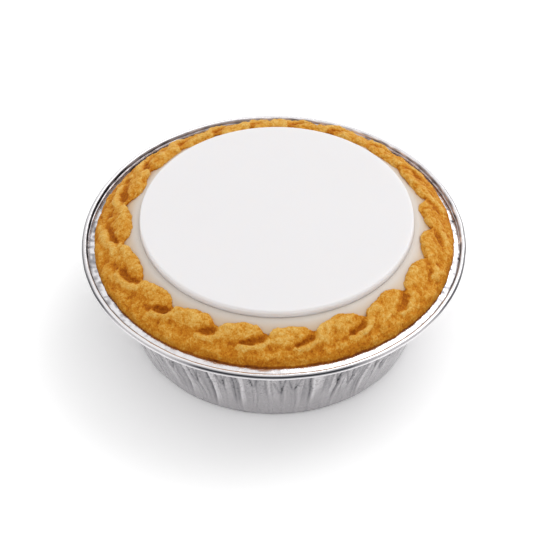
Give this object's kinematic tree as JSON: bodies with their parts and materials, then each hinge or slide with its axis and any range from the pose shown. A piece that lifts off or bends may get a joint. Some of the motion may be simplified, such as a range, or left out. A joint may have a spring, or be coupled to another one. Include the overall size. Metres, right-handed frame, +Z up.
{
  "type": "iced mince pie",
  "caption": "Round shortcrust pie with a rope-crimped rim and a white icing disc on an icing bed, in its fluted foil tin.",
  "frame": {"origin": "centre of the tin's underside, where it rests on the table", "axes": "+Z up through the pie's centre; -Y is the side that faces the picture's camera, +X is to its right"},
  "size_m": [0.08, 0.08, 0.0289],
  "materials": {
    "foil_tin": "satin",
    "pastry_case": "matte",
    "icing_bed": "satin",
    "icing_disc": "satin"
  },
  "bodies": {
    "root": {"foil_tin": "foil_tin", "pastry_case": "pastry_case", "icing_bed": "icing_bed", "icing_disc": "icing_disc"}
  },
  "joints": []
}
